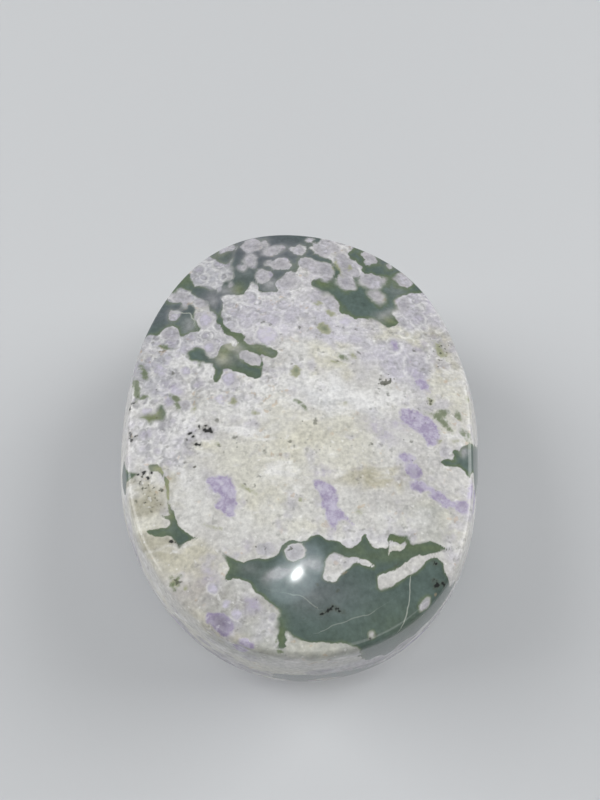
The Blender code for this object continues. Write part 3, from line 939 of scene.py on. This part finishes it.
class Paint:
    """Builds one material's nodes, step by step."""

    def __init__(self, name):
        self.material = bpy.data.materials.new(name)
        self.material.use_nodes = True
        self.tree = self.material.node_tree
        self.tree.nodes.clear()

    def add(self, kind, **settings):
        node = self.tree.nodes.new("ShaderNode" + kind)
        for setting, value in settings.items():
            setattr(node, setting, value)
        return node

    def feed(self, socket, value):
        if isinstance(value, bpy.types.NodeSocket):
            self.tree.links.new(value, socket)
        else:
            socket.default_value = value

    def field(self, name, output="Fac"):
        return self.add("Attribute", attribute_name=name).outputs[output]

    def math(self, operation, first, second=0.0, clamp=False):
        node = self.add("Math", operation=operation, use_clamp=clamp)
        self.feed(node.inputs[0], first)
        self.feed(node.inputs[1], second)
        return node.outputs[0]

    def times(self, first, *others, clamp=False):
        for other in others:
            first = self.math("MULTIPLY", first, other, clamp)
        return first

    def less(self, first, second, clamp=False):
        return self.math("SUBTRACT", first, second, clamp)

    def plus(self, first, *parts):
        """A value with other values added, each given with how much of it is added."""
        for part, share in parts:
            first = self.math("ADD", first, self.times(part, share))
        return first

    def ragged(self, name, medium_share, fine_share):
        """A marking's field, with its edge made ragged by the medium and the fine grain."""
        return self.plus(self.field(name), (self.medium, medium_share), (self.fine, fine_share))

    def span(self, value, low, high, to_low=0.0, to_high=1.0):
        """A smooth step: to_low where the value is at low or past it, and to_high at high."""
        node = self.add("MapRange", interpolation_type="SMOOTHSTEP")
        for socket, number in zip(node.inputs, (value, low, high, to_low, to_high)):
            self.feed(socket, number)
        return node.outputs[0]

    def band(self, value, low, full_from, full_to, high):
        """1 where the value is from full_from to full_to, fading to 0 at low and high."""
        return self.times(self.span(value, low, full_from), self.span(value, full_to, high, 1.0, 0.0))

    def line(self, value, middle, full_to, none_from, strength=1.0):
        """A thin line where the value is near its middle: full up to one distance, none from another."""
        away = self.math("ABSOLUTE", self.less(value, middle))
        return self.span(away, full_to, none_from, strength, 0.0)

    def mix(self, share, first, second):
        """Two colours mixed by the second one's share; each is a stone colour or made by other nodes."""
        node = self.add("Mix", data_type="RGBA", clamp_factor=True)
        self.feed(node.inputs[0], share)
        for socket, colour in ((node.inputs[6], first), (node.inputs[7], second)):
            self.feed(socket, (*linear(colour), 1.0) if isinstance(colour, tuple) else colour)
        return node.outputs[2]

    def shade(self, colour, brightness):
        """A colour made lighter or darker: brightness is a value round 1."""
        node = self.add("VectorMath", operation="SCALE")
        self.feed(node.inputs[0], colour)
        self.feed(node.inputs["Scale"], brightness)
        return node.outputs[0]

    def mottled(self, colour, fine_share, medium_share):
        return self.shade(colour, self.plus(1.0, (self.fine, fine_share), (self.medium, medium_share)))

    def grain(self, size, detail=1.0, roughness=0.5, offset=0.0, stretch=(1, 1, 1), turn=(0, 0, 0)):
        """Smooth noise round 0, about -0.5 to 0.5, whose grains are about size mm across."""
        mapping = self.add("Mapping")
        self.feed(mapping.inputs["Vector"], self.place)
        mapping.inputs["Location"].default_value = (offset, offset * 0.7, offset * 1.3)
        mapping.inputs["Rotation"].default_value = turn
        mapping.inputs["Scale"].default_value = stretch
        texture = self.add("TexNoise")
        self.feed(texture.inputs["Vector"], mapping.outputs[0])
        texture.inputs["Scale"].default_value = 0.5 / (size * MM)
        texture.inputs["Detail"].default_value = detail
        texture.inputs["Roughness"].default_value = roughness
        return self.less(texture.outputs[0], 0.5)

    def flecks(self, size, offset, low, high, strength):
        """Scattered flecks about size mm across."""
        return self.span(self.grain(size, offset=offset), low, high, 0.0, strength)

    def cells(self, size, waver):
        """Round cells about size mm apart: distance from each cell's middle, and two random numbers."""
        warp = self.add("TexNoise")
        self.feed(warp.inputs["Vector"], self.place)
        warp.inputs["Scale"].default_value = 0.5 / (size * MM)
        warp.inputs["Detail"].default_value = 2.0
        moved = self.add("VectorMath", operation="MULTIPLY_ADD")
        self.feed(moved.inputs[0], warp.outputs["Color"])
        moved.inputs[1].default_value = (waver * MM,) * 3
        self.feed(moved.inputs[2], self.place)
        texture = self.add("TexVoronoi", feature="F1")
        self.feed(texture.inputs["Vector"], moved.outputs[0])
        texture.inputs["Scale"].default_value = 1 / (size * MM)
        split = self.add("SeparateColor")
        self.feed(split.inputs[0], texture.outputs["Color"])
        return texture.outputs["Distance"], split.outputs[0], split.outputs[1]

    def finish(self, settings):
        """The finished material: one shader with these settings."""
        shader = self.add("BsdfPrincipled")
        for name, value in settings.items():
            self.feed(shader.inputs[name], value)
        self.feed(self.add("OutputMaterial").inputs["Surface"], shader.outputs[0])
        return self.material


def round_cells(paint, colour, share, cells, broken):
    """Small round growths: a faint lilac-grey middle, a broken soft rim and a light ring round it."""
    distance, tint, turn = cells
    core = paint.times(paint.span(distance, 0.15, 0.45, 1.0, 0.0), share)
    core = paint.times(core, paint.span(tint, 0.25, 0.9, 0.1, 0.8))
    colour = paint.mix(core, colour, LILAC_SHADE)
    rim = paint.times(paint.band(distance, 0.26, 0.42, 0.44, 0.6), share, broken, 0.7)
    colour = paint.mix(rim, colour, RIM_GREY)
    ring = paint.times(paint.band(distance, 0.46, 0.6, 0.62, 0.78), share)
    ring = paint.times(ring, paint.span(turn, 0.2, 0.8, 0.1, 0.6))
    return paint.mix(ring, colour, BRIGHT_WHITE)


def pale_stone(paint, large_cells):
    """The pale ground: cloudy in cream, white and lilac, and made of small round growths in places."""
    warm = paint.grain(2.4, 3.0, 0.55, offset=0.3)
    cool = paint.grain(1.9, 3.0, 0.6, offset=4.4)
    wisp = paint.grain(3.2, 4.0, 0.65, offset=7.7, stretch=(0.6, 1.5, 1.0), turn=(0, 0, 0.4))
    colour = paint.field("pale", "Color")
    colour = paint.mix(paint.span(warm, 0.03, 0.2, 0, 0.4), colour, YELLOW_CREAM)
    colour = paint.mix(paint.span(cool, 0.02, 0.18, 0, 0.6), colour, LILAC_GREY)
    white = paint.times(paint.span(wisp, 0.02, 0.16, 0, 0.8), paint.less(1.0, paint.field("quiet")))
    colour = paint.mix(white, colour, BRIGHT_WHITE)
    colour = paint.shade(colour, paint.span(wisp, -0.2, 0.0, 0.93, 1.0))
    share = paint.field("cells")
    broken = paint.span(paint.medium, -0.12, 0.1, 0.05, 1.0)
    colour = round_cells(paint, colour, share, large_cells, broken)
    colour = round_cells(paint, colour, paint.times(share, 0.6), paint.cells(1.2, 0.8), broken)
    freckle = paint.times(paint.flecks(0.4, 5.9, 0.14, 0.2, 0.4), paint.span(warm, 0.0, 0.12))
    colour = paint.mix(freckle, colour, RUST)
    dust = paint.times(paint.flecks(0.34, 3.1, 0.11, 0.2, 0.4), paint.span(cool, -0.14, 0.1))
    colour = paint.mix(dust, colour, DUST_GREY)
    colour = paint.mix(paint.flecks(0.3, 9.2, 0.16, 0.24, 0.5), colour, BRIGHT_WHITE)
    return paint.mottled(colour, 0.9, 0.45)


def purple_stone(paint, colour):
    """Grainy purple patches, deeper in places and darker along the edge, and faint lilac stains."""
    granular = paint.grain(0.5, 3.0, 0.7, offset=2.1)
    tone = paint.mix(paint.span(granular, -0.14, 0.14), DEEP_LILAC, PALE_LILAC)
    tone = paint.mix(0.35, tone, LILAC)
    deep = paint.times(paint.field("deep_purple"), 0.2, clamp=True)
    tone = paint.shade(paint.mix(deep, tone, DEEP_LILAC), paint.less(1.0, deep))
    crumbs = paint.span(paint.grain(0.36, 2.0, 0.6, offset=6.6), 0.08, 0.18, 0.0, 0.6)
    tone = paint.mix(crumbs, tone, LILAC_WHITE)
    edge = paint.ragged("purple", 0.7, 1.2)
    colour = paint.mix(paint.span(edge, -0.25, 0.25, 0, 0.88), colour, tone)
    colour = paint.mix(paint.line(edge, 0.3, 0.0, 0.3, 0.22), colour, DEEP_LILAC)
    grainy = paint.span(granular, -0.2, 0.2, 0.1, 0.6)
    return paint.mix(paint.times(paint.field("faint_purple"), grainy, clamp=True), colour, LILAC)


def nodule_stone(paint, colour):
    """Nodules: whitish towards the rim, with a mottled greyer middle and a trace of a ring inside."""
    inside = paint.ragged("nodule", 0.7, 0.5)
    body = paint.mix(paint.span(inside, 0.15, 0.9), NODULE_WHITE, NODULE_GREY)
    blotch = paint.span(paint.grain(1.0, 2.0, 0.6, offset=2.9), 0.02, 0.16, 0.0, 0.7)
    body = paint.mix(blotch, body, LILAC_WHITE)
    body = paint.mix(paint.flecks(0.34, 7.1, 0.06, 0.16, 0.6), body, RIM_GREY)
    body = paint.mottled(body, 0.9, 0.5)
    colour = paint.mix(paint.span(inside, -0.1, 0.25, 0, 0.8), colour, body)
    broken = paint.span(paint.medium, -0.08, 0.12, 0.0, 0.45)
    ring = paint.times(paint.band(inside, 0.16, 0.34, 0.36, 0.6), broken)
    return paint.mix(ring, colour, RIM_GREY)


def lilac_orbs(paint, colour):
    """Grainy lilac discs, each with a broken darker thread inside its edge and a white ring round it."""
    inside = paint.ragged("orb", 0.9, 0.9)
    grainy = paint.span(paint.grain(0.5, 3.0, 0.7, offset=4.9), -0.12, 0.12, 0.25, 0.8)
    colour = paint.mix(paint.times(paint.span(inside, -0.1, 0.5), grainy), colour, PALE_LILAC)
    broken = paint.span(paint.medium, -0.1, 0.1, 0.1, 0.4)
    thread = paint.times(paint.line(inside, 0.28, 0.04, 0.2), broken)
    colour = paint.mix(thread, colour, LILAC_SHADE)
    ring = paint.times(paint.line(inside, -0.1, 0.08, 0.28), broken)
    return paint.mix(ring, colour, BRIGHT_WHITE)


def olive_spots(paint, colour):
    """Small olive spots: they fade out at the rim and break into grains."""
    for name, rim, middle in (("olive", PALE_OLIVE, OLIVE), ("leaf", OLIVE, DARK_OLIVE)):
        edge = paint.ragged(name, 0.9, 1.1)
        tone = paint.mix(paint.span(edge, 0.1, 1.0), rim, middle)
        colour = paint.mix(paint.span(edge, -0.2, 0.3, 0, 0.85), colour, tone)
    return colour


def green_stone(paint, colour, cell_distance):
    """The glassy green: grey-green and deep in the middle, hazy or olive where it thins out to an edge."""
    slate = paint.field("slate")
    lobes = paint.times(paint.less(cell_distance, 0.42), paint.field("cells"))
    edge = paint.plus(paint.field("green"), (lobes, 0.9), (paint.medium, 0.6), (paint.fine, 0.5))
    cloud = paint.grain(2.6, 4.0, 0.6, offset=5.2)
    depth = paint.plus(edge, (cloud, 1.6))
    deep = paint.mix(paint.span(cloud, -0.12, 0.14), GREY_GREEN, DEEP_GREEN)
    deep = paint.mix(paint.times(slate, 0.9, clamp=True), deep, SLATE)
    shallow = paint.times(paint.field("shallow"), paint.span(cloud, -0.25, 0.2, 0.3, 1.0), clamp=True)
    thin = paint.math("MAXIMUM", paint.span(depth, 0.0, 0.7, 0.65, 0.0), shallow)
    thin = paint.less(thin, paint.times(slate, 0.5), clamp=True)
    tone = paint.mix(thin, deep, OLIVE)
    dark = paint.times(paint.span(cloud, 0.12, 0.3), paint.span(depth, 0.1, 0.6, 1.0, 0.3), 0.5)
    tone = paint.mix(dark, tone, DARK_OLIVE)
    veil = paint.times(paint.span(depth, 0.0, 0.9, 0.5, 0.0), slate, clamp=True)
    haze = paint.times(paint.field("haze"), paint.span(paint.medium, -0.2, 0.2, 0.7, 1.2))
    veil = paint.math("MAXIMUM", veil, haze)
    tone = paint.mix(veil, tone, paint.mix(shallow, HAZE_GREY, PALE_OLIVE))
    tone = paint.mottled(tone, 0.7, 0.4)
    soft = paint.span(paint.grain(3.0, 2.0, 0.5, offset=1.3), -0.04, 0.16, 0.14, 0.55)
    share = paint.span(edge, paint.times(soft, -0.5), soft)
    return paint.mix(share, colour, tone), share


def fine_marks(paint, colour):
    """Rust, dark specks, fine pepper and pale hairlines, over everything else."""
    rust = paint.plus(paint.field("rust"), (paint.fine, 0.5))
    colour = paint.mix(paint.span(rust, -0.1, 0.25, 0, 0.5), colour, RUST)
    grit = paint.grain(0.26, offset=8.4)
    pepper = paint.math("ADD", grit, paint.times(paint.field("pepper"), 0.24, clamp=True))
    colour = paint.mix(paint.span(pepper, 0.27, 0.38, 0, 0.8), colour, PEPPER_GREY)
    smudge = paint.plus(paint.field("smudge"), (grit, 1.2))
    colour = paint.mix(paint.span(smudge, 0.0, 0.36, 0, 0.65), colour, PEPPER_GREY)
    speck = paint.math("ADD", paint.field("speck"), grit)
    colour = paint.mix(paint.span(speck, -0.25, 0.1, 0, 0.35), colour, PEPPER_GREY)
    colour = paint.mix(paint.span(speck, 0.04, 0.2, 0, 0.95), colour, BLACK)
    for name, strength in (("hairline", 0.5), ("faint_hairline", 0.22)):
        side = paint.plus(paint.field(name), (paint.medium, 0.3))
        colour = paint.mix(paint.line(side, 0.0, 0.03, 0.14, strength), colour, THREAD)
    return colour


def polished_stone():
    """The whole stone's material: the green takes a glossier polish than the pale stone."""
    paint = Paint("polished_stone")
    paint.place = paint.add("TexCoord").outputs["Object"]
    paint.fine = paint.grain(0.24, 3.0, 0.6)
    paint.medium = paint.grain(0.8, 3.0, 0.55, offset=1.7)
    large_cells = paint.cells(2.1, 1.1)
    colour = pale_stone(paint, large_cells)
    for marking in (purple_stone, nodule_stone, lilac_orbs, olive_spots):
        colour = marking(paint, colour)
    colour, green = green_stone(paint, colour, large_cells[0])
    colour = fine_marks(paint, colour)
    smear = paint.grain(7.0, 3.0, 0.6, offset=3.3)
    roughness = paint.plus(paint.span(green, 0.0, 1.0, 0.24, 0.08), (smear, 0.04))
    return paint.finish({"Base Color": colour, "Roughness": roughness, "IOR": 1.5})


# Bake map: the face gets the largest share of the square

def lay_out_map(mesh, ring, bearing, share, places):
    """The bake's own map: the face and the underside as ovals, and the wall as two strips."""
    corners = np.empty(len(mesh.loops), int)
    mesh.loops.foreach_get("vertex_index", corners)
    starts = np.empty(len(mesh.polygons), int)
    mesh.polygons.foreach_get("loop_start", starts)
    owner = np.repeat(np.arange(len(starts)), np.diff(starts, append=len(corners)))
    ring, aim = ring[corners], bearing[corners]
    on_face = (np.maximum.reduceat(ring, starts) <= FACE_MAP_RINGS)[owner]
    on_under = (np.minimum.reduceat(ring, starts) >= GIRTH_RING)[owner]
    on_wall = ~on_face & ~on_under
    place = np.zeros((len(corners), 2))

    place[on_face] = FACE_MAP_MIDDLE + places[corners[on_face], :2] * FACE_MAP_WIDTH / WIDTH

    turn = (SIDE_RINGS - ring) / UNDERSIDE_RINGS
    outward = np.where(share[corners] < 0.5, 0, FLAT_SPOT_SHARE + (1 - FLAT_SPOT_SHARE) * turn)
    reach = np.hypot(*girth_points(aim).T) * outward
    spread = reach[:, None] * np.column_stack([np.cos(aim), np.sin(aim)])
    place[on_under] = UNDER_MAP_MIDDLE + spread[on_under] * UNDER_MAP_WIDTH / WIDTH

    turned = aim[on_wall] % (2 * math.pi)
    front = (np.bincount(owner, np.sin(aim)) < 0)[owner][on_wall]
    front_along = np.where(turned < 1, 2 * math.pi, turned) - math.pi
    back_along = np.where(turned > 5, 0, turned)
    along = np.where(front, front_along, back_along) / math.pi
    rise = (1 - ring[on_wall] / GIRTH_RING) * STRIP_HEIGHT
    place[on_wall, 0] = MAP_MARGIN + along * (1 - 2 * MAP_MARGIN)
    place[on_wall, 1] = np.where(front, FRONT_STRIP, BACK_STRIP) + rise

    layer = mesh.uv_layers.new(name="OFBake")
    layer.data.foreach_set("uv", place.ravel())


def make_stone():
    stone = make_block()
    stone.name = "palm_stone_polished"
    stone.data.name = "palm_stone_polished"
    ring, bearing, share, unrolled, depth = grind(stone)
    places = point_places(stone.data)
    keep_fields(stone.data, measure_markings(places, unrolled, depth, ring > GIRTH_RING))
    lay_out_map(stone.data, ring, bearing, share, places)
    deselect_all()
    stone.select_set(True)
    bpy.context.view_layer.objects.active = stone
    bpy.ops.object.shade_smooth()
    stone.data.materials.clear()
    stone.data.materials.append(polished_stone())
    return stone


def make_floor():
    deselect_all()
    bpy.ops.mesh.primitive_plane_add(size=FLOOR_SIZE, location=(0, 0, -FLOOR_GAP))
    floor = bpy.context.object
    floor.name = "floor"
    pale_floor = Paint("pale_floor").finish({"Base Color": FLOOR_COLOUR, "Roughness": FLOOR_ROUGHNESS})
    floor.data.materials.append(pale_floor)


def face_height(x, y):
    reach = math.hypot(*dome_edge(np.array([math.atan2(y, x)]))[0])
    bulge = reach * math.tan(DOME_EDGE_SLOPE) / DOME_RISE
    return THICKNESS - DOME_RISE * (math.hypot(x, y) / reach) ** bulge


def mirror_direction(spot):
    """Where a spot of the photo lies on the stone's face, and where its mirror image comes from."""
    right, up, forward = camera_axes()
    across = (spot[0] - PHOTO_WIDTH / 2) / FOCAL_PIXELS
    rise = (PHOTO_HEIGHT / 2 - spot[1]) / FOCAL_PIXELS
    sight = (forward + right * across + up * rise).normalized()
    point = CAMERA_PLACE + sight * (THICKNESS - CAMERA_PLACE.z) / sight.z
    x, y, _ = point
    step = 0.2 * MM
    slope_x = (face_height(x + step, y) - face_height(x - step, y)) / (2 * step)
    slope_y = (face_height(x, y + step) - face_height(x, y - step)) / (2 * step)
    return point, sight.reflect(Vector((-slope_x, -slope_y, 1)).normalized())


def make_light(name, place, target, size, radiance, shape="RECTANGLE", roll=0.0, tint=(1, 1, 1)):
    """A flat light whose surface is so bright, whatever its size."""
    data = bpy.data.lights.new(name, "AREA")
    data.shape = shape
    data.size, data.size_y = size
    area = size[0] * size[1] * (math.pi / 4 if shape == "ELLIPSE" else 1)
    data.energy = radiance * area * math.pi
    data.color = tint
    light = bpy.data.objects.new(name, data)
    place, target = Vector(place), Vector(target)
    aim = (target - place).to_track_quat("-Z", "Y").to_matrix()
    turn = aim @ Matrix.Rotation(math.radians(roll), 3, "Z")
    light.matrix_world = Matrix.Translation(place) @ turn.to_4x4()
    bpy.context.collection.objects.link(light)


def make_lights():
    world = bpy.data.worlds.new("studio")
    world.use_nodes = True
    background = world.node_tree.nodes["Background"]
    background.inputs["Color"].default_value = SKY_COLOUR
    background.inputs["Strength"].default_value = SKY_STRENGTH
    bpy.context.scene.world = world
    for name, place, target, size, radiance in SOFT_LIGHTS:
        make_light(name, place, target, size, radiance)
    point, aim = mirror_direction(GLINT_SPOT)
    for name, distance, size, radiance, tint in GLINT_LIGHTS:
        make_light(name, point + aim * distance, point, size, radiance, "ELLIPSE", GLINT_ROLL, tint)


bpy.context.scene.view_settings.view_transform = "Standard"
make_camera()
stone = make_stone()
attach(stone, "root")
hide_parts("palm_stone")
make_floor()
make_lights()
